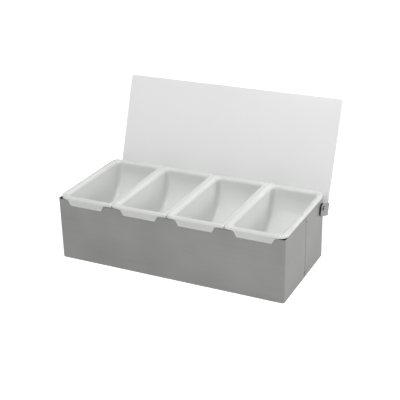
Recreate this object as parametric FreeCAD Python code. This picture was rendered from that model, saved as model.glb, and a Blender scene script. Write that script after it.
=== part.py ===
import FreeCAD, Part
import math
import os

# Bar condiment holder: a folded steel box, four hanging trays and a lid on two side lugs.
# Millimetres. X runs along the length to the right, Y to the back, Z up.
# The origin is the centre of the footprint, on the table.

# Steel box
BOX_LENGTH = 306.8
BOX_DEPTH = 137.3
BOX_HEIGHT = 82.6
SHEET = 0.8
BOX_BEND_RADIUS = 2.8

# Side seam, where the rear shell reaches behind the front shell
SEAM_Y = 2.0
SEAM_GAP = 1.0
TONGUE_LENGTH = 12.0
TONGUE_BOTTOM = 7.0
TONGUE_TOP_DROP = 8.0
JOGGLE_LENGTH = 2.4
SEAM_RELIEF = 1.0

# Floor of the box
PAN_SHEET = 0.8
PAN_FLANGE = 12.0
PAN_BEND_RADIUS = 2.0
PAN_FLANGE_END = 6.0

# Trays, loose in the box and pushed a little to the right
TRAY_COUNT = 4
TRAY_ROW_PLAY = 3.5
TRAY_GAP = 0.3
LIP_CLEARANCE = 0.35
TRAYS_SHIFT = 2.0
TRAY_CORNER_RADIUS = 12.0
TRAY_WALL = 1.8
RIM_ABOVE_BOX = 5.4
RIM_THICKNESS = 1.8
RIM_SIDE_WIDTH = 6.8
RIM_END_WIDTH = 7.2
RIM_OUTER_ROUND = 3.0
RIM_INNER_ROUND = 5.0
RIM_UNDER_ROUND = 2.8
SKIRT_THICKNESS = 1.6
SKIRT_ABOVE_BOX = 0.4
LIP_INSET = 11.95
LIP_END_SLOPE = 3.7
LIP_BELOW_BOX = 6.4
LIP_CORNER_ROUND = 2.5
LIP_EDGE_ROUND = 0.5
LIP_ROOT_DROP = 0.2
SEAT_RIB_COUNT = 3
SEAT_RIB_INSET = 7.85
SEAT_RIB_THICKNESS = 1.6

# Inside of a tray
BOWL_DEPTH = 60.0
BOWL_END_DRAFT = 4.0
BOWL_SIDE_DRAFT = 2.8
SCOOP_SHARE = 0.82
BOWL_CORNER_RADIUS = 5.0

# Lid, a flat sheet
LID_SIDE_INSET = 0.3
LID_FRONT_OVERHANG = 6.15
LID_REAR_OVERHANG = 5.35
LID_ABOVE_RIM = 3.5
LID_THICKNESS = 2.0
LID_CORNER_RADIUS = 3.5
LID_EDGE_ROUND = 0.5

# Hinge: the pivot line, and the lid's place above it when shut
PIVOT_FROM_BACK = 4.85
PIVOT_BELOW_TOP = 14.6
LID_LEAN = 19.6

# Lugs
LUG_SHEET = 1.0
LUG_WIDTH = 16.4
LUG_GAP = 0.8
LUG_LENGTH = 33.0
LUG_END_ROUND = 5.5
LUG_SHOULDER_ROUND = 3.0
LUG_BEND_RADIUS = 1.0
LEG_WIDTH = 10.4
LEG_LENGTH = 20.0
BEND_RELIEF = 0.8

# Pivot screws, washers and nuts
SCREW_RADIUS = 1.5
SCREW_HEAD_RADIUS = 3.0
SCREW_HEAD_HEIGHT = 1.5
SCREW_HEAD_ROUND = 0.8
RECESS_LENGTH = 3.4
RECESS_WIDTH = 0.9
RECESS_DEPTH = 0.8
SCREW_PAST_NUT = 0.5
SCREW_TIP_CHAMFER = 0.4
HOLE_CLEARANCE = 0.08
HEAD_PLAY = 0.2
WASHER_RADIUS = 3.2
WASHER_THICKNESS = 0.6
NUT_ACROSS_FLATS = 5.5
NUT_THICKNESS = 2.0
NUT_CHAMFER = 0.35
NUT_SEAT_RADIUS = 2.0
NUT_SEAT_HEIGHT = 0.5

# Rivets through the lid and the lug's leg
RIVET_RADIUS = 1.5
RIVET_HEAD_RADIUS = 2.75
RIVET_HEAD_HEIGHT = 1.2
RIVET_TAIL_FLARE = 0.8
RIVET_CLEARANCE = 0.05
RIVET_FIRST = 4.0
RIVET_PITCH = 8.5
RIVETS_PER_LUG = 2

# Overshoot of a cutting tool past the face it cuts
PAST = 1.0

X_AXIS = FreeCAD.Vector(1, 0, 0)
Y_AXIS = FreeCAD.Vector(0, 1, 0)
Z_AXIS = FreeCAD.Vector(0, 0, 1)
ORIGIN = FreeCAD.Vector(0, 0, 0)

# Levels and lines that several pieces share
SIDE_OUT = BOX_LENGTH / 2
SIDE_IN = SIDE_OUT - SHEET
BACK_OUT = BOX_DEPTH / 2
BACK_IN = BACK_OUT - SHEET
RIM_TOP = BOX_HEIGHT + RIM_ABOVE_BOX
SKIRT_BOTTOM = BOX_HEIGHT + SKIRT_ABOVE_BOX
LIP_BOTTOM = BOX_HEIGHT - LIP_BELOW_BOX
TRAY_WIDTH = (BOX_LENGTH - TRAY_ROW_PLAY - (TRAY_COUNT - 1) * TRAY_GAP) / TRAY_COUNT
TRAY_DEPTH = BOX_DEPTH + 2 * (LIP_CLEARANCE + SKIRT_THICKNESS)
TRAY_PITCH = TRAY_WIDTH + TRAY_GAP
BOWL_HALF_LENGTH = TRAY_DEPTH / 2 - RIM_END_WIDTH
SCOOP_RADIUS = SCOOP_SHARE * BOWL_HALF_LENGTH
LIP_LENGTH = TRAY_WIDTH - 2 * LIP_INSET
SEAT_RIB_PITCH = (LIP_LENGTH - 2 * SEAT_RIB_INSET) / (SEAT_RIB_COUNT - 1)
PIVOT_Y = BACK_OUT - PIVOT_FROM_BACK
PIVOT_Z = BOX_HEIGHT - PIVOT_BELOW_TOP
PIVOT = FreeCAD.Vector(0, PIVOT_Y, PIVOT_Z)
LID_WIDTH = BOX_LENGTH - 2 * LID_SIDE_INSET
LID_DEPTH = BOX_DEPTH + LID_FRONT_OVERHANG + LID_REAR_OVERHANG
LID_REAR = BACK_OUT + LID_REAR_OVERHANG
LID_UNDER = RIM_TOP + LID_ABOVE_RIM
LID_TOP = LID_UNDER + LID_THICKNESS
LUG_IN = SIDE_OUT + LUG_GAP
LUG_OUT = LUG_IN + LUG_SHEET
LUG_MIDDLE_Y = LID_REAR - LUG_WIDTH / 2
LUG_BOTTOM = LID_UNDER - LUG_LENGTH
LEG_UNDER = LID_UNDER - LUG_SHEET
HEAD_FACE = LUG_OUT + HEAD_PLAY


def block(x0, x1, y0, y1, z0, z1):
    """Box between two corners."""
    return Part.makeBox(x1 - x0, y1 - y0, z1 - z0, FreeCAD.Vector(x0, y0, z0))


def rounded_block(length, depth, z0, z1, radius):
    """Upright block on the Z axis with rounded vertical edges."""
    body = block(-length / 2, length / 2, -depth / 2, depth / 2, z0, z1)
    upright = [edge for edge in body.Edges if abs(edge.tangentAt(edge.FirstParameter).z) > 0.5]
    return body.makeFillet(radius, upright)


def prism(points, sweep):
    """Flat polygon through the points, swept along a vector."""
    outline = Part.makePolygon(points + [points[0]])
    return Part.Face(outline).extrude(sweep)


def rod(radius, x0, x1, y=0.0, z=0.0):
    """Round bar along X."""
    return Part.makeCylinder(radius, x1 - x0, FreeCAD.Vector(x0, y, z), X_AXIS)


def arc(start, middle, end):
    """Circular edge through three points."""
    return Part.Arc(start, middle, end).toShape()


def on_side(shape, side):
    """The right-hand piece as it is, or its mirror image for the left."""
    if side == "right":
        return shape
    return shape.mirror(ORIGIN, X_AXIS)


def swung_open(shape):
    """A piece of the shut lid, turned about the pivot line to the open pose."""
    opened = shape.copy()
    opened.rotate(PIVOT, X_AXIS, -(90.0 + LID_LEAN))
    return opened


# Box

def wall_ring():
    """Both shells in one closed ring of sheet, before the side seams are cut."""
    outside = rounded_block(BOX_LENGTH, BOX_DEPTH, 0, BOX_HEIGHT, BOX_BEND_RADIUS)
    inner_radius = BOX_BEND_RADIUS - SHEET
    inside = rounded_block(2 * SIDE_IN, 2 * BACK_IN, -PAST, BOX_HEIGHT + PAST, inner_radius)
    return outside.cut(inside)


def seam_tongue():
    """Joggled tongue of the rear shell, which lies behind the front shell's edge."""
    start = SEAM_Y + SEAM_GAP / 2 + JOGGLE_LENGTH
    edge = SEAM_Y + SEAM_GAP / 2
    end = SEAM_Y - SEAM_GAP / 2 - TONGUE_LENGTH
    plan = [
        (SIDE_OUT, start),
        (SIDE_IN, edge),
        (SIDE_IN, end),
        (SIDE_IN - SHEET, end),
        (SIDE_IN - SHEET, edge),
        (SIDE_IN, start),
    ]
    points = [FreeCAD.Vector(x, y, TONGUE_BOTTOM) for x, y in plan]
    height = BOX_HEIGHT - TONGUE_TOP_DROP - TONGUE_BOTTOM
    return prism(points, Z_AXIS * height)


def make_front_shell():
    """Front wall with the front half of both side walls."""
    edge = SEAM_Y - SEAM_GAP / 2
    behind = block(-BOX_LENGTH, BOX_LENGTH, edge, BOX_DEPTH, -PAST, BOX_HEIGHT + PAST)
    return wall_ring().cut(behind)


def make_rear_shell():
    """Back wall with the rear half of both side walls, their tongues and pivot holes."""
    edge = SEAM_Y + SEAM_GAP / 2
    before = block(-BOX_LENGTH, BOX_LENGTH, -BOX_DEPTH, edge, -PAST, BOX_HEIGHT + PAST)
    shell = wall_ring().cut(before)
    window_low = TONGUE_BOTTOM - SEAM_RELIEF
    window_high = BOX_HEIGHT - TONGUE_TOP_DROP + SEAM_RELIEF
    window = block(
        -BOX_LENGTH, BOX_LENGTH, edge - PAST, edge + JOGGLE_LENGTH, window_low, window_high
    )
    shell = shell.cut(window)
    hole = rod(SCREW_RADIUS + HOLE_CLEARANCE, -BOX_LENGTH, BOX_LENGTH, PIVOT_Y, PIVOT_Z)
    for side in ("left", "right"):
        shell = shell.fuse(on_side(seam_tongue(), side))
    return shell.cut(hole).removeSplitter()


def make_base_pan():
    """Floor sheet with a folded flange against the front and the back wall."""
    outside = block(-SIDE_IN, SIDE_IN, -BACK_IN, BACK_IN, 0, PAN_FLANGE)
    low = [edge for edge in outside.Edges if is_long_low(edge)]
    outside = outside.makeFillet(PAN_BEND_RADIUS, low)
    inner_half = BACK_IN - PAN_SHEET
    inside = block(
        -BOX_LENGTH, BOX_LENGTH, -inner_half, inner_half, PAN_SHEET, PAN_FLANGE + PAN_BEND_RADIUS
    )
    low = [edge for edge in inside.Edges if is_long_low(edge)]
    inside = inside.makeFillet(PAN_BEND_RADIUS - PAN_SHEET, low)
    pan = outside.cut(inside)
    notch_y = BACK_IN - PAN_BEND_RADIUS
    for sx in (-1, 1):
        for sy in (-1, 1):
            xs = sorted((sx * (SIDE_IN - PAN_FLANGE_END), sx * (SIDE_IN + PAST)))
            ys = sorted((sy * notch_y, sy * (BACK_IN + PAST)))
            pan = pan.cut(block(xs[0], xs[1], ys[0], ys[1], -PAST, PAN_FLANGE + PAST))
    return pan


def is_long_low(edge):
    """True for an edge along X at the bottom of its block."""
    along_x = abs(edge.tangentAt(edge.FirstParameter).x) > 0.5
    middle = edge.valueAt((edge.FirstParameter + edge.LastParameter) / 2)
    return along_x and middle.z < PAN_FLANGE / 2


# Trays

def bowl(wall):
    """The tray's hollow with its wall thickness added, up to the top of the rim.

    Both ends drop with a slight draft and sweep into the floor on a large radius.
    The sides are drafted planes, and one round edge runs from rim to floor to rim.
    """
    draft = math.radians(BOWL_END_DRAFT)
    side_draft = math.radians(BOWL_SIDE_DRAFT)
    radius = SCOOP_RADIUS + wall
    centre_z = RIM_TOP - BOWL_DEPTH + SCOOP_RADIUS
    fall = RIM_TOP - centre_z + SCOOP_RADIUS * math.sin(draft)
    centre_y = BOWL_HALF_LENGTH - fall * math.tan(draft) - SCOOP_RADIUS * math.cos(draft)
    centre = FreeCAD.Vector(0, centre_y, centre_z)
    floor = centre - Z_AXIS * radius
    half_turn = (math.pi / 2 - draft) / 2
    start_angle = -draft
    wall_foot = centre + on_circle(radius, start_angle)
    arc_middle = centre + on_circle(radius, start_angle - half_turn)
    top_y = BOWL_HALF_LENGTH + wall / math.cos(draft)
    top = FreeCAD.Vector(0, top_y, RIM_TOP)
    ends = []
    for sign in (1, -1):
        flip = FreeCAD.Matrix()
        flip.scale(1, sign, 1)
        line = Part.LineSegment(flip * top, flip * wall_foot).toShape()
        sweep = arc(flip * wall_foot, flip * arc_middle, flip * floor)
        ends.append((line, sweep))
    mirror_floor = FreeCAD.Vector(0, -floor.y, floor.z)
    mirror_top = FreeCAD.Vector(0, -top.y, top.z)
    bottom = Part.LineSegment(floor, mirror_floor).toShape()
    lid_line = Part.LineSegment(mirror_top, top).toShape()
    outline = Part.Wire([ends[0][0], ends[0][1], bottom, ends[1][1], ends[1][0], lid_line])
    half_reach = TRAY_WIDTH / 2
    long_way = Part.Face(outline)
    long_way.translate(X_AXIS * -half_reach)
    long_way = long_way.extrude(X_AXIS * TRAY_WIDTH)

    half_top = TRAY_WIDTH / 2 - RIM_SIDE_WIDTH + wall / math.cos(side_draft)
    deep = BOWL_DEPTH + wall + PAST
    half_low = half_top - deep * math.tan(side_draft)
    corners = [
        (-half_top, RIM_TOP),
        (half_top, RIM_TOP),
        (half_low, RIM_TOP - deep),
        (-half_low, RIM_TOP - deep),
    ]
    points = [FreeCAD.Vector(x, -TRAY_DEPTH, z) for x, z in corners]
    body = long_way.common(prism(points, Y_AXIS * 2 * TRAY_DEPTH))

    seam_edges = []
    for edge in body.Edges:
        middle = edge.valueAt((edge.FirstParameter + edge.LastParameter) / 2)
        side_x = half_top - (RIM_TOP - middle.z) * math.tan(side_draft)
        if middle.z < RIM_TOP - PAST / 2 and abs(abs(middle.x) - side_x) < 1e-4:
            seam_edges.append(edge)
    return body.makeFillet(BOWL_CORNER_RADIUS + wall, seam_edges)


def on_circle(radius, angle):
    """Point on a circle in the YZ plane, from +Y towards +Z."""
    return FreeCAD.Vector(0, radius * math.cos(angle), radius * math.sin(angle))


def lip():
    """Tapered lip that hangs from the front of the skirt over the box wall."""
    top = RIM_TOP - RIM_OUTER_ROUND - LIP_ROOT_DROP
    front = -TRAY_DEPTH / 2
    half_low = LIP_LENGTH / 2 - LIP_END_SLOPE
    slope = LIP_END_SLOPE / (SKIRT_BOTTOM - LIP_BOTTOM)
    half_top = half_low + slope * (top - LIP_BOTTOM)
    corners = [(-half_top, top), (half_top, top), (half_low, LIP_BOTTOM), (-half_low, LIP_BOTTOM)]
    points = [FreeCAD.Vector(x, front, z) for x, z in corners]
    plate = prism(points, Y_AXIS * SKIRT_THICKNESS)
    low_corners = []
    for edge in plate.Edges:
        middle = edge.valueAt((edge.FirstParameter + edge.LastParameter) / 2)
        if edge.Length < SKIRT_THICKNESS + 1e-6 and middle.z < LIP_BOTTOM + 1e-6:
            low_corners.append(edge)
    plate = plate.makeFillet(LIP_CORNER_ROUND, low_corners)
    outer = []
    for edge in plate.Edges:
        box = edge.BoundBox
        if box.YMax < front + 1e-4 and box.ZMin < top - PAST:
            outer.append(edge)
    return plate.makeFillet(LIP_EDGE_ROUND, outer)


def seat_ribs():
    """Short ribs inside the lip that stand on the top edge of the box wall."""
    front = -TRAY_DEPTH / 2
    inner = -TRAY_DEPTH / 2 + RIM_END_WIDTH
    ribs = []
    for number in range(SEAT_RIB_COUNT):
        x = (number - (SEAT_RIB_COUNT - 1) / 2) * SEAT_RIB_PITCH
        ribs.append(
            block(
                x - SEAT_RIB_THICKNESS / 2,
                x + SEAT_RIB_THICKNESS / 2,
                front + SKIRT_THICKNESS / 2,
                inner,
                BOX_HEIGHT,
                RIM_TOP - RIM_THICKNESS / 2,
            )
        )
    return ribs


def make_tray():
    """One tray, centred on the Z axis, with the same lip at both ends."""
    plate = rounded_block(
        TRAY_WIDTH, TRAY_DEPTH, RIM_TOP - RIM_THICKNESS, RIM_TOP, TRAY_CORNER_RADIUS
    )
    skirt = rounded_block(TRAY_WIDTH, TRAY_DEPTH, SKIRT_BOTTOM, RIM_TOP, TRAY_CORNER_RADIUS)
    inside_skirt = rounded_block(
        TRAY_WIDTH - 2 * SKIRT_THICKNESS,
        TRAY_DEPTH - 2 * SKIRT_THICKNESS,
        SKIRT_BOTTOM - PAST,
        RIM_TOP + PAST,
        TRAY_CORNER_RADIUS - SKIRT_THICKNESS,
    )
    tray = plate.fuse(bowl(TRAY_WALL)).removeSplitter()
    under = [edge for edge in tray.Edges if is_under_rim(edge)]
    tray = tray.makeFillet(RIM_UNDER_ROUND, under).fuse(skirt.cut(inside_skirt))
    for piece in [lip()] + seat_ribs():
        turned = piece.copy()
        turned.rotate(ORIGIN, Z_AXIS, 180)
        tray = tray.fuse(piece).fuse(turned)
    tray = tray.cut(bowl(0.0)).removeSplitter()
    inner_half_x = TRAY_WIDTH / 2 - RIM_SIDE_WIDTH + PAST
    inner_half_y = TRAY_DEPTH / 2 - RIM_END_WIDTH + PAST
    inner = []
    outer = []
    for edge in tray.Edges:
        box = edge.BoundBox
        if box.ZMin > RIM_TOP - 1e-4:
            near = abs(box.XMax) < inner_half_x and abs(box.XMin) < inner_half_x
            near = near and abs(box.YMax) < inner_half_y and abs(box.YMin) < inner_half_y
            if near:
                inner.append(edge)
            else:
                outer.append(edge)
    tray = tray.makeFillet(RIM_INNER_ROUND, inner)
    return refillet(tray, outer, RIM_OUTER_ROUND)


def is_under_rim(edge):
    """True for an edge where the underside of the rim meets the outside of the bowl."""
    box = edge.BoundBox
    level = RIM_TOP - RIM_THICKNESS
    flat = abs(box.ZMin - level) < 1e-3 and abs(box.ZMax - level) < 1e-3
    reach_x = TRAY_WIDTH / 2 - SKIRT_THICKNESS
    reach_y = TRAY_DEPTH / 2 - SKIRT_THICKNESS
    inside = max(abs(box.XMin), abs(box.XMax)) < reach_x
    return flat and inside and max(abs(box.YMin), abs(box.YMax)) < reach_y


def refillet(body, wanted, radius):
    """Fillet the edges of a changed body that still lie where the wanted ones lay."""
    places = [edge.CenterOfMass for edge in wanted]
    found = []
    for edge in body.Edges:
        middle = edge.CenterOfMass
        if any(middle.distanceToPoint(place) < 1e-3 for place in places):
            found.append(edge)
    return body.makeFillet(radius, found)


# Lid, modelled shut

def make_lid_panel():
    """Flat lid with rounded corners and edges, and the holes for the rivets."""
    sheet = rounded_block(LID_WIDTH, LID_DEPTH, LID_UNDER, LID_TOP, LID_CORNER_RADIUS)
    sheet.translate(Y_AXIS * (LID_REAR - LID_DEPTH / 2))
    rims = [edge for edge in sheet.Edges if edge.BoundBox.ZLength < 1e-4]
    sheet = sheet.makeFillet(LID_EDGE_ROUND, rims)
    for side in ("left", "right"):
        for x in rivet_places():
            hole = Part.makeCylinder(
                RIVET_RADIUS + RIVET_CLEARANCE,
                2 * LID_THICKNESS + 2 * PAST,
                FreeCAD.Vector(x, LUG_MIDDLE_Y, LID_UNDER - LID_THICKNESS),
            )
            sheet = sheet.cut(on_side(hole, side))
    return sheet


def rivet_places():
    """X of each rivet on the right, counted from the free end of the leg."""
    first = LUG_IN - LEG_LENGTH + RIVET_FIRST
    return [first + number * RIVET_PITCH for number in range(RIVETS_PER_LUG)]


def make_lug():
    """Right lug: a rounded plate beside the wall, bent to a leg under the lid."""
    half = LUG_WIDTH / 2
    plate = block(
        LUG_IN, LUG_OUT, LUG_MIDDLE_Y - half, LUG_MIDDLE_Y + half, LUG_BOTTOM, LID_UNDER
    )
    ends = [edge for edge in plate.Edges if abs(edge.tangentAt(edge.FirstParameter).x) > 0.5]
    low = [edge for edge in ends if edge.CenterOfMass.z < LID_UNDER - LUG_LENGTH / 2]
    plate = plate.makeFillet(LUG_END_ROUND, low)
    ends = [edge for edge in plate.Edges if abs(edge.tangentAt(edge.FirstParameter).x) > 0.5]
    high = [edge for edge in ends if edge.CenterOfMass.z > LID_UNDER - 1e-4]
    plate = plate.makeFillet(LUG_SHOULDER_ROUND, high)
    outer_bend = LUG_BEND_RADIUS + LUG_SHEET
    notch_half = LEG_WIDTH / 2 + BEND_RELIEF
    plate = plate.cut(
        block(
            LUG_IN - PAST,
            LUG_OUT + PAST,
            LUG_MIDDLE_Y - notch_half,
            LUG_MIDDLE_Y + notch_half,
            LID_UNDER - outer_bend,
            LID_UNDER + PAST,
        )
    )
    lug = plate.fuse(lug_leg()).removeSplitter()
    hole = rod(SCREW_RADIUS + HOLE_CLEARANCE, LUG_IN - PAST, LUG_OUT + PAST, PIVOT_Y, PIVOT_Z)
    lug = lug.cut(hole)
    for x in rivet_places():
        lug = lug.cut(rivet_tail(x, RIVET_CLEARANCE))
    return lug


def lug_leg():
    """Bend and leg of the lug, as an L-shaped section swept along Y."""
    y = LUG_MIDDLE_Y - LEG_WIDTH / 2
    outer = LUG_BEND_RADIUS + LUG_SHEET
    bend_x = LUG_OUT - outer
    bend_z = LID_UNDER - outer
    diagonal = math.sqrt(0.5)

    def at(x, z):
        return FreeCAD.Vector(x, y, z)

    end_x = LUG_IN - LEG_LENGTH
    low_z = bend_z - LUG_SHEET
    outer_arc = arc(
        at(bend_x, LID_UNDER), at(bend_x + outer * diagonal, bend_z + outer * diagonal),
        at(LUG_OUT, bend_z),
    )
    inner = LUG_BEND_RADIUS
    inner_arc = arc(
        at(LUG_IN, bend_z), at(bend_x + inner * diagonal, bend_z + inner * diagonal),
        at(bend_x, LEG_UNDER),
    )
    outline = Part.Wire([
        Part.makeLine(at(end_x, LID_UNDER), at(bend_x, LID_UNDER)),
        outer_arc,
        Part.makeLine(at(LUG_OUT, bend_z), at(LUG_OUT, low_z)),
        Part.makeLine(at(LUG_OUT, low_z), at(LUG_IN, low_z)),
        Part.makeLine(at(LUG_IN, low_z), at(LUG_IN, bend_z)),
        inner_arc,
        Part.makeLine(at(bend_x, LEG_UNDER), at(end_x, LEG_UNDER)),
        Part.makeLine(at(end_x, LEG_UNDER), at(end_x, LID_UNDER)),
    ])
    return Part.Face(outline).extrude(Y_AXIS * LEG_WIDTH)


def rivet_tail(x, clearance):
    """Flared tail of a rivet, or with a clearance the countersink that holds it."""
    return Part.makeCone(
        RIVET_RADIUS + RIVET_TAIL_FLARE + clearance,
        RIVET_RADIUS + clearance,
        LUG_SHEET,
        FreeCAD.Vector(x, LUG_MIDDLE_Y, LEG_UNDER),
    )


def make_rivet(x):
    """Rivet with a domed head on the lid's outer face and a flush tail in the leg."""
    shank = Part.makeCylinder(
        RIVET_RADIUS, LID_TOP - LID_UNDER, FreeCAD.Vector(x, LUG_MIDDLE_Y, LID_UNDER)
    )
    rise = RIVET_HEAD_HEIGHT
    sphere_radius = (RIVET_HEAD_RADIUS ** 2 + rise ** 2) / (2 * rise)
    centre = FreeCAD.Vector(x, LUG_MIDDLE_Y, LID_TOP + rise - sphere_radius)
    ball = Part.makeSphere(sphere_radius, centre)
    above = block(
        x - sphere_radius,
        x + sphere_radius,
        LUG_MIDDLE_Y - sphere_radius,
        LUG_MIDDLE_Y + sphere_radius,
        LID_TOP,
        LID_TOP + sphere_radius,
    )
    return rivet_tail(x, 0.0).fuse(shank).fuse(ball.common(above)).removeSplitter()


# Pivot hardware, right side

def make_pivot_screw():
    """Pan head screw with a cross recess, head outwards."""
    nut_end = SIDE_IN - NUT_SEAT_HEIGHT - NUT_THICKNESS
    tip = nut_end - SCREW_PAST_NUT
    shank = rod(SCREW_RADIUS, tip, HEAD_FACE, PIVOT_Y, PIVOT_Z)
    tip_edge = [edge for edge in shank.Edges if edge.BoundBox.XMax < tip + 1e-4]
    shank = shank.makeChamfer(SCREW_TIP_CHAMFER, tip_edge)
    head_end = HEAD_FACE + SCREW_HEAD_HEIGHT
    head = rod(SCREW_HEAD_RADIUS, HEAD_FACE, head_end, PIVOT_Y, PIVOT_Z)
    crown = [edge for edge in head.Edges if edge.BoundBox.XMin > head_end - 1e-4]
    head = head.makeFillet(SCREW_HEAD_ROUND, crown)
    for half_y, half_z in (
        (RECESS_LENGTH / 2, RECESS_WIDTH / 2),
        (RECESS_WIDTH / 2, RECESS_LENGTH / 2),
    ):
        head = head.cut(
            block(
                head_end - RECESS_DEPTH,
                head_end + PAST,
                PIVOT_Y - half_y,
                PIVOT_Y + half_y,
                PIVOT_Z - half_z,
                PIVOT_Z + half_z,
            )
        )
    return shank.fuse(head).removeSplitter()


def make_pivot_washer():
    """Flat washer that keeps the lug off the wall."""
    disc = rod(WASHER_RADIUS, SIDE_OUT, SIDE_OUT + WASHER_THICKNESS, PIVOT_Y, PIVOT_Z)
    bore = SCREW_RADIUS + HOLE_CLEARANCE
    return disc.cut(rod(bore, SIDE_OUT - PAST, SIDE_OUT + PAST, PIVOT_Y, PIVOT_Z))


def make_pivot_nut():
    """Hexagon nut whose round seat stands on the flat of the wall, clear of the bend."""
    corner = NUT_ACROSS_FLATS / math.sqrt(3)
    x1 = SIDE_IN - NUT_SEAT_HEIGHT
    x0 = x1 - NUT_THICKNESS
    points = []
    for number in range(6):
        angle = math.radians(60 * number + 30)
        y = PIVOT_Y + corner * math.cos(angle)
        z = PIVOT_Z + corner * math.sin(angle)
        points.append(FreeCAD.Vector(x0, y, z))
    hexagon = prism(points, X_AXIS * NUT_THICKNESS)
    barrel = rod(corner, x0, x1, PIVOT_Y, PIVOT_Z)
    free_end = [edge for edge in barrel.Edges if edge.BoundBox.XMax < x0 + 1e-4]
    barrel = barrel.makeChamfer(NUT_CHAMFER, free_end)
    bore = rod(SCREW_RADIUS + HOLE_CLEARANCE / 2, x0 - PAST, SIDE_IN + PAST, PIVOT_Y, PIVOT_Z)
    seat = rod(NUT_SEAT_RADIUS, x1, SIDE_IN, PIVOT_Y, PIVOT_Z)
    return hexagon.common(barrel).fuse(seat).cut(bore)


def make_all():
    """Every piece of the holder, by its name."""
    pieces = {
        "front_shell": make_front_shell(),
        "rear_shell": make_rear_shell(),
        "base_pan": make_base_pan(),
        "lid_panel": swung_open(make_lid_panel()),
    }
    tray = make_tray()
    for number in range(TRAY_COUNT):
        placed = tray.copy()
        x = TRAYS_SHIFT + (number - (TRAY_COUNT - 1) / 2) * TRAY_PITCH
        placed.translate(X_AXIS * x)
        pieces["tray_%d" % (number + 1)] = placed
    for side in ("left", "right"):
        pieces["hinge_bracket_" + side] = swung_open(on_side(make_lug(), side))
        pieces["pivot_screw_" + side] = on_side(make_pivot_screw(), side)
        pieces["pivot_washer_" + side] = on_side(make_pivot_washer(), side)
        pieces["pivot_nut_" + side] = on_side(make_pivot_nut(), side)
        for number, x in enumerate(rivet_places()):
            name = "lid_rivet_%s_%d" % (side, number + 1)
            pieces[name] = swung_open(on_side(make_rivet(x), side))
    return pieces


os.makedirs("parts", exist_ok=True)
for name, shape in make_all().items():
    shape.exportStep("parts/%s.step" % name)
    print("%-20s solids %d  valid %s  volume %9.1f" % (
        name, len(shape.Solids), shape.isValid(), shape.Volume
    ))
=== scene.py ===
"""Visual model of a bar condiment holder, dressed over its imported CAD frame.

A folded steel box stands on a white table. Four white moulded trays hang in it by their rims, and a flat white
lid leans back on two lugs at the rear of the side walls.

Everything is in metres in the frame of the CAD: X to the right along the box, Y to the back, Z up, with the origin
in the middle of the box's footprint. Sizes that come from the real object are written in millimetres.
"""

import logging
import math
from abc import ABC, abstractmethod
from dataclasses import dataclass, field
from enum import Enum
from typing import Any

import bmesh
import bpy
from mathutils import Matrix, Vector


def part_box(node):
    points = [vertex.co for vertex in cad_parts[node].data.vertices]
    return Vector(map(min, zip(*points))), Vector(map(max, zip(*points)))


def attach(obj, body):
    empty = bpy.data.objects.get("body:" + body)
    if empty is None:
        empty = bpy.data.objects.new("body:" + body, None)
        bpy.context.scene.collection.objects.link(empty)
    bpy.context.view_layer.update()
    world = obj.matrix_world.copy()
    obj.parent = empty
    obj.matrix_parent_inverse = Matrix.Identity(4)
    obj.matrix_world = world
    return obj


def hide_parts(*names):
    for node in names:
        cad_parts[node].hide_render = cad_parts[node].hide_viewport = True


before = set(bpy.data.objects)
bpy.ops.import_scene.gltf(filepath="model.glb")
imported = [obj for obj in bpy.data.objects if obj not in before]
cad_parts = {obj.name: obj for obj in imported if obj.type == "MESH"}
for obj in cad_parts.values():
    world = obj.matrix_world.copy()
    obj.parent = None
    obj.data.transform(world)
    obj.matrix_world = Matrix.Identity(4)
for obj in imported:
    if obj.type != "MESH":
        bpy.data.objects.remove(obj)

LOG = logging.getLogger("condiment_holder")
MM = 0.001
NOISE_LOW, NOISE_HIGH = 0.3, 0.7  # most values of a noise texture lie between these

Colour = tuple[float, float, float, float]


class Side(Enum):
    """Side of the box that a piece of the hinge belongs to."""

    LEFT = "left"
    RIGHT = "right"


def linear(code: str) -> Colour:
    """Turn an sRGB hex colour into the linear colour that shaders take.

    Args:
        code: Colour as "#rrggbb".

    Returns:
        Red, green, blue and an alpha of one.
    """
    channels = []
    for start in (1, 3, 5):
        value = int(code[start:start + 2], 16) / 255.0
        channels.append(value / 12.92 if value <= 0.04045 else ((value + 0.055) / 1.055) ** 2.4)
    return channels[0], channels[1], channels[2], 1.0


def add_node(
    tree: bpy.types.NodeTree,
    kind: str,
    settings: dict[str | int, Any] | None = None,
    links: dict[str | int, bpy.types.NodeSocket] | None = None,
) -> bpy.types.Node:
    """Add one node to a tree, with its settings and its incoming links.

    Args:
        tree: Tree that gets the node.
        kind: Blender's name for the node's type.
        settings: Values for inputs, by name or number, or for the node's own properties, by name.
        links: Outputs of other nodes, by the name or number of the input that takes them.

    Returns:
        The new node.
    """
    node = tree.nodes.new(kind)
    for key, value in (settings or {}).items():
        if isinstance(key, str) and key in node.bl_rna.properties:
            setattr(node, key, value)
        else:
            node.inputs[key].default_value = value
    for key, source in (links or {}).items():
        tree.links.new(source, node.inputs[key])
    return node


class Finish(ABC):
    """A surface finish, which makes its Blender material once."""

    name: str

    def material(self) -> bpy.types.Material:
        """Return this finish's material, and make it the first time."""
        known = bpy.data.materials.get(self.name)
        if known is not None:
            return known
        made = bpy.data.materials.new(self.name)
        made.use_nodes = True
        tree = made.node_tree
        tree.nodes.clear()
        surface = self.surface(tree)
        add_node(tree, "ShaderNodeOutputMaterial", links={"Surface": surface})
        return made

    @abstractmethod
    def surface(self, tree: bpy.types.NodeTree) -> bpy.types.NodeSocket:
        """Build the finish's nodes.

        Args:
            tree: The material's empty node tree.

        Returns:
            The shader output for the surface.
        """

    def dress(self, piece: bpy.types.Object) -> None:
        """Give a piece this finish on all its faces.

        Args:
            piece: Mesh object to dress.
        """
        piece.data.materials.clear()
        piece.data.materials.append(self.material())


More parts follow.
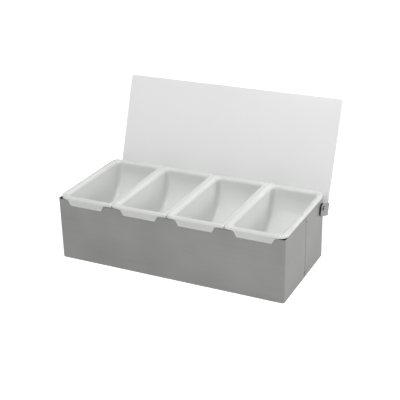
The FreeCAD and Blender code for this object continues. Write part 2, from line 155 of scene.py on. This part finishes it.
@dataclass(frozen=True)
class BrushedStainless(Finish):
    """Stainless steel sheet, cold rolled and brushed along its length before it was folded.

    The eye gets a mid grey satin face, fine level lines that break up reflections, and slow clouds where the belt
    pressed harder.
    """

    name: str = "stainless_steel_brushed_sheet"
    dark: str = "#777776"
    light: str = "#888887"
    roughness_low: float = 0.30
    roughness_high: float = 0.44
    grain_width_mm: float = 0.5  # real grit lines are about 0.1 mm, drawn wider so that they show
    grain_length_mm: float = 90.0
    cloud_mm: float = 70.0
    cloud_share: float = 0.45
    relief_mm: float = 0.02
    anisotropy: float = 0.55

    def surface(self, tree: bpy.types.NodeTree) -> bpy.types.NodeSocket:
        """Build level grain lines and slow clouds over a satin metal."""
        place = add_node(tree, "ShaderNodeTexCoord")
        along = 1.0 / (self.grain_length_mm * MM)
        across = 1.0 / (self.grain_width_mm * MM)
        stretch = add_node(
            tree,
            "ShaderNodeMapping",
            {"Scale": (along, along, across)},
            {"Vector": place.outputs["Object"]},
        )
        grain = add_node(
            tree,
            "ShaderNodeTexNoise",
            {"Scale": 1.0, "Detail": 3.0, "Roughness": 0.6},
            {"Vector": stretch.outputs["Vector"]},
        )
        cloud = add_node(
            tree,
            "ShaderNodeTexNoise",
            {"Scale": 1.0 / (self.cloud_mm * MM), "Detail": 2.0, "Roughness": 0.5},
            {"Vector": place.outputs["Object"]},
        )
        blend = add_node(
            tree,
            "ShaderNodeMix",
            {"data_type": "FLOAT", 0: self.cloud_share},
            {2: grain.outputs["Fac"], 3: cloud.outputs["Fac"]},
        )
        spread = add_node(
            tree,
            "ShaderNodeMapRange",
            {"From Min": NOISE_LOW, "From Max": NOISE_HIGH},
            {"Value": blend.outputs[0]},
        )
        tone = add_node(
            tree,
            "ShaderNodeMix",
            {"data_type": "RGBA", 6: linear(self.dark), 7: linear(self.light)},
            {0: spread.outputs["Result"]},
        )
        gloss = add_node(
            tree,
            "ShaderNodeMapRange",
            {
                "From Min": NOISE_LOW,
                "From Max": NOISE_HIGH,
                "To Min": self.roughness_low,
                "To Max": self.roughness_high,
            },
            {"Value": grain.outputs["Fac"]},
        )
        relief = add_node(
            tree,
            "ShaderNodeBump",
            {"Strength": 0.25, "Distance": self.relief_mm * MM},
            {"Height": grain.outputs["Fac"]},
        )
        steel = add_node(
            tree,
            "ShaderNodeBsdfPrincipled",
            {"Metallic": 1.0, "Anisotropic": self.anisotropy},
            {
                "Base Color": tone.outputs[2],
                "Roughness": gloss.outputs["Result"],
                "Normal": relief.outputs["Normal"],
            },
        )
        return steel.outputs["BSDF"]


@dataclass(frozen=True)
class MouldedPolypropylene(Finish):
    """White polypropylene, injection moulded in a lightly spark-eroded tool.

    The eye gets a milky satin white: light runs a little way into the wall and edges stay soft. The inside corners
    and other spots close to a wall carry painted shade: an occlusion test greys their colour.
    """

    name: str = "polypropylene_white_moulded"
    colour: str = "#e3e4e3"
    shade: str = "#dbdcdb"
    # painted shade: the grey that inside corners and spots close to a wall are given
    corner: str = "#bdbebd"
    shade_reach_mm: float = 8.0
    full_shade_at: float = 0.35
    no_shade_at: float = 0.8
    ior: float = 1.49
    roughness_low: float = 0.17
    roughness_high: float = 0.25
    depth_mm: float = 1.5
    scatter: float = 1.0
    texture_mm: float = 0.6  # real spark texture is about 0.05 mm, drawn coarser so that it shows
    flow_mm: float = 40.0
    relief_mm: float = 0.01

    def surface(self, tree: bpy.types.NodeTree) -> bpy.types.NodeSocket:
        """Build a milky plastic with painted shade in the corners, a fine tool texture and faint flow clouds."""
        place = add_node(tree, "ShaderNodeTexCoord")
        flow = add_node(
            tree,
            "ShaderNodeTexNoise",
            {"Scale": 1.0 / (self.flow_mm * MM), "Detail": 2.0},
            {"Vector": place.outputs["Object"]},
        )
        tone = add_node(
            tree,
            "ShaderNodeMix",
            {"data_type": "RGBA", 6: linear(self.shade), 7: linear(self.colour)},
            {0: flow.outputs["Fac"]},
        )
        # Painted shade: the colour goes towards the corner grey where an occlusion test finds walls close by.
        occlusion = add_node(
            tree, "ShaderNodeAmbientOcclusion", {"samples": 8, "Distance": self.shade_reach_mm * MM}
        )
        openness = add_node(
            tree,
            "ShaderNodeMapRange",
            {"From Min": self.full_shade_at, "From Max": self.no_shade_at},
            {"Value": occlusion.outputs["AO"]},
        )
        tone = add_node(
            tree,
            "ShaderNodeMix",
            {"data_type": "RGBA", 6: linear(self.corner)},
            {0: openness.outputs["Result"], 7: tone.outputs[2]},
        )
        texture = add_node(
            tree,
            "ShaderNodeTexNoise",
            {"Scale": 1.0 / (self.texture_mm * MM), "Detail": 2.0},
            {"Vector": place.outputs["Object"]},
        )
        relief = add_node(
            tree,
            "ShaderNodeBump",
            {"Strength": 0.2, "Distance": self.relief_mm * MM},
            {"Height": texture.outputs["Fac"]},
        )
        gloss = add_node(
            tree,
            "ShaderNodeMapRange",
            {"To Min": self.roughness_low, "To Max": self.roughness_high},
            {"Value": flow.outputs["Fac"]},
        )
        plastic = add_node(
            tree,
            "ShaderNodeBsdfPrincipled",
            {
                "IOR": self.ior,
                "Subsurface Weight": self.scatter,
                "Subsurface Radius": (1.0, 1.0, 1.0),
                "Subsurface Scale": self.depth_mm * MM,
            },
            {
                "Base Color": tone.outputs[2],
                "Roughness": gloss.outputs["Result"],
                "Normal": relief.outputs["Normal"],
            },
        )
        return plastic.outputs["BSDF"]


@dataclass(frozen=True)
class PressedSheet(Finish):
    """White plastic sheet, extruded between polished rolls and cut to size.

    The eye gets a plain bright white with a real gloss, in which the tray rims show as a faint line, and long
    shallow waves from the rolls.
    """

    name: str = "polypropylene_white_rolled_sheet"
    colour: str = "#f9faf9"
    shade: str = "#f6f7f6"
    ior: float = 1.49
    roughness_low: float = 0.09
    roughness_high: float = 0.15
    wave_mm: float = 60.0
    relief_mm: float = 0.01

    def surface(self, tree: bpy.types.NodeTree) -> bpy.types.NodeSocket:
        """Build a glossy white with long roll waves."""
        place = add_node(tree, "ShaderNodeTexCoord")
        wave = add_node(
            tree,
            "ShaderNodeTexNoise",
            {"Scale": 1.0 / (self.wave_mm * MM), "Detail": 3.0},
            {"Vector": place.outputs["Object"]},
        )
        tone = add_node(
            tree,
            "ShaderNodeMix",
            {"data_type": "RGBA", 6: linear(self.shade), 7: linear(self.colour)},
            {0: wave.outputs["Fac"]},
        )
        gloss = add_node(
            tree,
            "ShaderNodeMapRange",
            {"To Min": self.roughness_low, "To Max": self.roughness_high},
            {"Value": wave.outputs["Fac"]},
        )
        relief = add_node(
            tree,
            "ShaderNodeBump",
            {"Strength": 0.15, "Distance": self.relief_mm * MM},
            {"Height": wave.outputs["Fac"]},
        )
        plastic = add_node(
            tree,
            "ShaderNodeBsdfPrincipled",
            {"IOR": self.ior},
            {
                "Base Color": tone.outputs[2],
                "Roughness": gloss.outputs["Result"],
                "Normal": relief.outputs["Normal"],
            },
        )
        return plastic.outputs["BSDF"]


@dataclass(frozen=True)
class FastenerMetal(Finish):
    """Bright metal of the small fasteners: zinc plated steel, cut in a lathe or punched, or pressed aluminium.

    The eye gets small hard highlights next to near black, with a faint mottle.
    """

    name: str = "steel_zinc_plated_fastener"
    colour: str = "#8f9091"
    mottle: str = "#7a7b7c"
    roughness_low: float = 0.19
    roughness_high: float = 0.32
    speck_mm: float = 0.5

    def surface(self, tree: bpy.types.NodeTree) -> bpy.types.NodeSocket:
        """Build a bright metal with a faint mottle."""
        place = add_node(tree, "ShaderNodeTexCoord")
        speck = add_node(
            tree,
            "ShaderNodeTexNoise",
            {"Scale": 1.0 / (self.speck_mm * MM), "Detail": 2.0},
            {"Vector": place.outputs["Object"]},
        )
        tone = add_node(
            tree,
            "ShaderNodeMix",
            {"data_type": "RGBA", 6: linear(self.mottle), 7: linear(self.colour)},
            {0: speck.outputs["Fac"]},
        )
        gloss = add_node(
            tree,
            "ShaderNodeMapRange",
            {"To Min": self.roughness_low, "To Max": self.roughness_high},
            {"Value": speck.outputs["Fac"]},
        )
        metal = add_node(
            tree,
            "ShaderNodeBsdfPrincipled",
            {"Metallic": 1.0},
            {"Base Color": tone.outputs[2], "Roughness": gloss.outputs["Result"]},
        )
        return metal.outputs["BSDF"]


@dataclass(frozen=True)
class StudioFloor(Finish):
    """White seamless paper under the object.

    It takes the object's shadow, and to the eye and in metal it is as white as the photograph's ground.
    """

    name: str = "studio_paper_white"
    colour: str = "#d0d0d0"
    lift: float = 0.75

    def surface(self, tree: bpy.types.NodeTree) -> bpy.types.NodeSocket:
        """Build matte paper that is lifted to white where it is looked at."""
        ray = add_node(tree, "ShaderNodeLightPath")
        seen = add_node(
            tree,
            "ShaderNodeMath",
            {"operation": "MAXIMUM"},
            {0: ray.outputs["Is Camera Ray"], 1: ray.outputs["Is Glossy Ray"]},
        )
        seen = add_node(
            tree,
            "ShaderNodeMath",
            {"operation": "MAXIMUM"},
            {0: seen.outputs[0], 1: ray.outputs["Is Transmission Ray"]},
        )
        amount = add_node(
            tree,
            "ShaderNodeMath",
            {"operation": "MULTIPLY", 1: self.lift},
            {0: seen.outputs[0]},
        )
        paper = add_node(tree, "ShaderNodeBsdfDiffuse", {"Color": linear(self.colour)})
        glow = add_node(tree, "ShaderNodeEmission", links={"Strength": amount.outputs[0]})
        both = add_node(
            tree,
            "ShaderNodeAddShader",
            links={0: paper.outputs["BSDF"], 1: glow.outputs["Emission"]},
        )
        return both.outputs["Shader"]


@dataclass
class SteelBox:
    """Folded box: a front and a rear shell that meet at the side seams, and the floor pan."""

    finish: BrushedStainless = field(default_factory=BrushedStainless)
    nodes: tuple[str, ...] = ("front_shell", "rear_shell", "base_pan")

    def build(self) -> None:
        """Dress the three sheets of the box."""
        for name in self.nodes:
            self.finish.dress(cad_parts[name])
            LOG.info("%s: %s", name, self.finish.name)


def smooth(share: float) -> float:
    """Ease a share from 0 to 1, with both ends level.

    Args:
        share: Any number, cut to the range from 0 to 1.

    Returns:
        The eased share.
    """
    share = min(max(share, 0.0), 1.0)
    return share * share * (3.0 - 2.0 * share)


@dataclass(frozen=True)
class RimForm:
    """Rim of a tray in millimetres: as the solid has it, and as the photograph shows it.

    The photograph shows rims that meet their neighbours without a groove, a sloping front, tighter corners, and a
    dark gap over the box's front wall beside each lip.

    A point of the rim has an inset from the solid's outline and a drop below the rim's top. Round a corner, to_end
    goes from 0 at the tray's side to 1 at its end.
    """

    # The solid
    width: float = 75.6
    depth: float = 141.2
    top: float = 88.0
    corner: float = 12.0
    mouth_corner: float = 5.0
    skirt: float = 1.6  # its thickness
    skirt_drop: float = 5.0  # of the skirt's lower edge
    edge: float = 3.0  # radius of the round on the outer edge
    side_centre_drop: float = 3.245  # of that round's centre, at the sides
    end_centre_drop: float = 3.054  # of that round's centre, at the ends
    near: float = 0.1  # how close to a surface its own points lie

    # What the photograph shows
    corner_joined: float = 2.0  # radius where two trays meet
    corner_free: float = 9.0  # radius at the two ends of the row
    side_edge: float = 0.25  # radius that is left of the round at the sides
    side_spread: float = 0.12  # how much further out the sides reach
    crown: float = 5.0  # radius of the round into the mouth
    crown_start: float = 2.04  # inset at which that round starts
    end_drop: float = 3.8  # of the foot of the slope at the ends
    end_flatness: float = 0.5  # how much of the slope is straight and not round
    gap_rise: float = 1.1  # of the skirt's lower edge beside a lip
    gap_ramp: float = 2.5  # distance from the lip over which it rises
    gap_end: float = 6.0  # distance to the tray's side over which it comes down

    def shown(self, x: float, y: float, z: float, joined: bool) -> tuple[float, float, float]:
        """Move a point of the solid to where the finished rim has it.

        Args:
            x: Distance from the tray's middle along the box.
            y: Distance from the tray's middle to the back.
            z: Height above the table.
            joined: Whether the point's side of the tray meets another tray.

        Returns:
            The three new coordinates.
        """
        p = abs(x) - self.width / 2 + self.corner
        q = abs(y) - self.depth / 2 + self.corner
        if max(p, q) <= 0:
            return x, y, z
        turn = math.atan2(max(q, 0.0), max(p, 0.0))
        reach = math.hypot(max(p, 0.0), max(q, 0.0))
        inset, drop = self.corner - reach, self.top - z
        further, spread, rise = self.edge_change(inset, drop, smooth(2 * turn / math.pi))
        reach += further
        if abs(drop - self.skirt_drop) < self.near and inset < self.skirt + self.near:
            rise += self.gap_rise * smooth(p / self.gap_ramp) * smooth(q / self.gap_end)
        if p > 0 and q > 0:
            reach += self.corner_change(reach, turn, self.corner_joined if joined else self.corner_free)
        p = reach * math.cos(turn) + spread if p > 0 else p
        q = reach * math.sin(turn) if q > 0 else q
        new_x = math.copysign(p + self.width / 2 - self.corner, x)
        new_y = math.copysign(q + self.depth / 2 - self.corner, y)
        return new_x, new_y, z + rise

    def edge_change(self, inset: float, drop: float, to_end: float) -> tuple[float, float, float]:
        """Change a point on the round of the outer edge or on the skirt.

        Args:
            inset: Distance in from the solid's outline.
            drop: Distance below the rim's top.
            to_end: Share of the way from the tray's side to its end.

        Returns:
            How far the point moves out from the corner's centre, how far it spreads sideways and how far it rises.
        """
        further = rise = 0.0
        to_side = 1 - to_end
        centre_drop = self.side_centre_drop + to_end * (self.end_centre_drop - self.side_centre_drop)
        off = math.hypot(self.edge - inset, centre_drop - drop) - self.edge
        on_round = abs(off) < self.near and drop < centre_drop + self.near
        if on_round and inset > self.edge:
            across = min(inset - self.crown_start, self.crown)
            crown_drop = self.crown - math.sqrt(self.crown ** 2 - across ** 2)
            rise = to_side * (drop - crown_drop)
        elif on_round:
            kept = self.side_edge / self.edge
            straight = self.end_flatness * (1 - inset / self.edge)
            end_drop = self.end_drop * (straight + (1 - self.end_flatness) * drop / centre_drop)
            further = to_side * (1 - kept) * inset
            rise = drop - to_side * kept * drop - to_end * end_drop
        outside = on_round and inset < self.edge or inset < self.skirt
        return further, to_side * self.side_spread if outside else 0.0, rise

    def corner_change(self, reach: float, turn: float, radius: float) -> float:
        """Change a corner's radius at its outline, and less and less towards the mouth.

        Args:
            reach: Distance from the solid's corner centre.
            turn: Angle round the corner from the tray's side.
            radius: Radius of the shown corner.

        Returns:
            How far the point moves out.
        """
        span = self.corner - self.skirt - self.mouth_corner
        weight = smooth((reach - self.mouth_corner) / span)
        return weight * (self.outline(math.cos(turn), math.sin(turn), radius) - self.corner)

    def outline(self, outward: float, sideways: float, radius: float) -> float:
        """Measure the distance from the solid's corner centre to the shown outline.

        Args:
            outward: Share of the direction across the tray.
            sideways: Share of the direction along the tray.
            radius: Radius of the shown corner.

        Returns:
            The distance in millimetres.
        """
        shift = self.corner - radius
        if self.corner * sideways <= shift * outward:
            return self.corner / outward
        if self.corner * outward <= shift * sideways:
            return self.corner / sideways
        along = shift * (outward + sideways)
        return along + math.sqrt(along ** 2 - 2 * shift ** 2 + radius ** 2)


@dataclass
class TrayRow:
    """Row of lift-out trays."""

    count: int = 4
    body: str = "housing"
    rim: RimForm = field(default_factory=RimForm)
    finish: MouldedPolypropylene = field(default_factory=MouldedPolypropylene)
    weld_mm: float = 0.002
    sharp_deg: float = 50.0
    normal_weight: int = 90

    def build(self) -> None:
        """Make every tray's moulding in place of its solid."""
        for number in range(1, self.count + 1):
            name = f"tray_{number}"
            piece = self.moulding(name, number > 1, number < self.count)
            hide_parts(name)
            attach(piece, self.body)
            self.finish.dress(piece)
            LOG.info("%s: %s", name, self.finish.name)

    def moulding(self, name: str, joined_left: bool, joined_right: bool) -> bpy.types.Object:
        """Build one tray from its solid, with the rim that the photograph shows.

        Args:
            name: CAD node of the tray.
            joined_left: Whether another tray stands to its left.
            joined_right: Whether another tray stands to its right.

        Returns:
            The new mesh object.
        """
        mesh = bpy.data.meshes.new(f"{name}_moulding")
        points, faces = self.shape(name, joined_left, joined_right)
        mesh.from_pydata(points, [], faces)
        mesh.shade_smooth()
        mesh.set_sharp_from_angle(angle=math.radians(self.sharp_deg))
        piece = bpy.data.objects.new(f"{name}_moulding", mesh)
        bpy.context.scene.collection.objects.link(piece)
        shading = piece.modifiers.new("broad_faces_lead", "WEIGHTED_NORMAL")
        shading.keep_sharp = True
        shading.weight = self.normal_weight
        return piece

    def shape(
        self, name: str, joined_left: bool, joined_right: bool
    ) -> tuple[list[Vector], list[list[int]]]:
        """Read a tray's solid and move its points to the shown rim.

        Args:
            name: CAD node of the tray.
            joined_left: Whether another tray stands to its left.
            joined_right: Whether another tray stands to its right.

        Returns:
            The points in metres, and each face's points by number.
        """
        low, high = (Vector(corner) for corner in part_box(name))
        middle = (low + high) / 2
        work = bmesh.new()
        work.from_mesh(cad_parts[name].data)
        bmesh.ops.remove_doubles(work, verts=work.verts, dist=self.weld_mm * MM)
        points = []
        for vert in work.verts:
            x, y, z = vert.co / MM
            x -= middle.x / MM
            joined = joined_left if x < 0 else joined_right
            x, y, z = self.rim.shown(x, y - middle.y / MM, z, joined)
            points.append(Vector((x, y, z)) * MM + Vector((middle.x, middle.y, 0.0)))
        faces = [[vert.index for vert in face.verts] for face in work.faces]
        work.free()
        return points, faces


@dataclass
class Lid:
    """Flat lid with its two lugs and their rivets."""

    rivets_per_lug: int = 2
    sheet: PressedSheet = field(default_factory=PressedSheet)
    strip: BrushedStainless = field(
        default_factory=lambda: BrushedStainless(name="stainless_steel_brushed_strip")
    )
    rivet: FastenerMetal = field(
        default_factory=lambda: FastenerMetal(name="aluminium_rivet_pressed", colour="#c2c3c4")
    )

    def build(self) -> None:
        """Dress the panel, the lugs and the rivets."""
        self.sheet.dress(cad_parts["lid_panel"])
        LOG.info("lid_panel: %s", self.sheet.name)
        for side in Side:
            self.strip.dress(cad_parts[f"hinge_bracket_{side.value}"])
            for number in range(1, self.rivets_per_lug + 1):
                self.rivet.dress(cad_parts[f"lid_rivet_{side.value}_{number}"])
            LOG.info("hinge_bracket_%s: %s", side.value, self.strip.name)


@dataclass
class PivotSet:
    """Screw, washer and nut of one pivot."""

    side: Side
    finish: FastenerMetal = field(default_factory=FastenerMetal)

    def build(self) -> None:
        """Dress the three fasteners."""
        for kind in ("screw", "washer", "nut"):
            name = f"pivot_{kind}_{self.side.value}"
            self.finish.dress(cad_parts[name])
            LOG.info("%s: %s", name, self.finish.name)


@dataclass(frozen=True)
class Softbox:
    """Square studio lamp that faces the object, with its places and width in metres and its power in watts."""

    name: str
    place: tuple[float, float, float]
    aim: tuple[float, float, float]
    width: float
    power: float

    def build(self) -> None:
        """Add the lamp to the scene."""
        data = bpy.data.lights.new(self.name, "AREA")
        data.shape = "SQUARE"
        data.size = self.width
        data.energy = self.power
        lamp = bpy.data.objects.new(self.name, data)
        bpy.context.scene.collection.objects.link(lamp)
        lamp.location = self.place
        away = Vector(self.place) - Vector(self.aim)
        lamp.rotation_euler = away.to_track_quat("Z", "Y").to_euler()


@dataclass(frozen=True)
class Studio:
    """Pale floor, soft lamps and an even surround."""

    floor_width: float = 12.0
    sky_colour: str = "#ffffff"
    sky_top: float = 0.448
    sky_horizon: float = 0.128
    sky_full: float = 0.9  # height on the unit sphere from which the sky has its full level
    lamps: tuple[Softbox, ...] = (
        Softbox("key_softbox", (1.47, 0.52, 0.64), (0.0, 0.0, 0.05), 0.5, 10.0),
        Softbox("top_softbox", (0.3, -0.75, 1.8), (0.0, 0.0, 0.05), 1.2, 20.5),
        Softbox("fill_softbox", (-0.35, -1.75, 1.35), (0.0, 0.0, 0.05), 0.9, 5.0),
    )

    def build(self) -> None:
        """Add the floor, the lamps and the world."""
        half = self.floor_width / 2
        mesh = bpy.data.meshes.new("studio_floor")
        corners = [(-half, -half, 0), (half, -half, 0), (half, half, 0), (-half, half, 0)]
        mesh.from_pydata(corners, [], [(0, 1, 2, 3)])
        floor = bpy.data.objects.new("studio_floor", mesh)
        bpy.context.scene.collection.objects.link(floor)
        StudioFloor().dress(floor)
        for lamp in self.lamps:
            lamp.build()
        self.build_world()

    def build_world(self) -> None:
        """Make a surround that is bright overhead, dimmer at the horizon and white to the camera."""
        world = bpy.data.worlds.new("studio_surround")
        bpy.context.scene.world = world
        world.use_nodes = True
        tree = world.node_tree
        tree.nodes.clear()
        place = add_node(tree, "ShaderNodeTexCoord")
        height = add_node(
            tree, "ShaderNodeSeparateXYZ", links={"Vector": place.outputs["Generated"]}
        )
        level = add_node(
            tree,
            "ShaderNodeMapRange",
            {
                "From Min": 0.0,
                "From Max": self.sky_full,
                "To Min": self.sky_horizon,
                "To Max": self.sky_top,
            },
            {"Value": height.outputs["Z"]},
        )
        ray = add_node(tree, "ShaderNodeLightPath")
        seen = add_node(
            tree,
            "ShaderNodeMix",
            {"data_type": "FLOAT", 3: 1.0},
            {0: ray.outputs["Is Camera Ray"], 2: level.outputs["Result"]},
        )
        light = add_node(
            tree,
            "ShaderNodeBackground",
            {"Color": linear(self.sky_colour)},
            {"Strength": seen.outputs[0]},
        )
        add_node(tree, "ShaderNodeOutputWorld", links={"Surface": light.outputs["Background"]})


@dataclass(frozen=True)
class PhotoCamera:
    """Camera at the photograph's viewing angle, placed by its distances from the origin along its own axes."""

    azimuth_deg: float = 26.16
    elevation_deg: float = 23.84
    roll_deg: float = -1.27
    distance_mm: float = 1205.6
    right_mm: float = 10.3
    up_mm: float = 72.0
    focal_px: float = 927.7
    image_px: float = 400.0
    sensor_mm: float = 36.0
    near_mm: float = 10.0

    def build(self) -> None:
        """Add the camera and make it the scene's own."""
        azimuth = math.radians(self.azimuth_deg)
        elevation = math.radians(self.elevation_deg)
        roll = math.radians(self.roll_deg)
        back = Vector((
            math.sin(azimuth) * math.cos(elevation),
            -math.cos(azimuth) * math.cos(elevation),
            math.sin(elevation),
        ))
        level = Vector((math.cos(azimuth), math.sin(azimuth), 0.0))
        upright = back.cross(level)
        right = level * math.cos(roll) + upright * math.sin(roll)
        up = back.cross(right)
        place = (right * self.right_mm + up * self.up_mm + back * self.distance_mm) * MM
        data = bpy.data.cameras.new("photo_camera")
        data.sensor_width = self.sensor_mm
        data.lens = self.sensor_mm * self.focal_px / self.image_px
        data.clip_start = self.near_mm * MM
        camera = bpy.data.objects.new("photo_camera", data)
        bpy.context.scene.collection.objects.link(camera)
        turn = Matrix((right, up, back)).transposed().to_4x4()
        camera.matrix_world = Matrix.Translation(place) @ turn
        bpy.context.scene.camera = camera


def main() -> None:
    """Build the scene: the object's assemblies, then the studio and the camera."""
    logging.basicConfig(level=logging.INFO, format="%(name)s: %(message)s")
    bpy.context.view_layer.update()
    SteelBox().build()
    TrayRow().build()
    Lid().build()
    for side in Side:
        PivotSet(side).build()
    Studio().build()
    PhotoCamera().build()
    bpy.context.scene.view_settings.view_transform = "Standard"


if __name__ == "__main__":
    main()
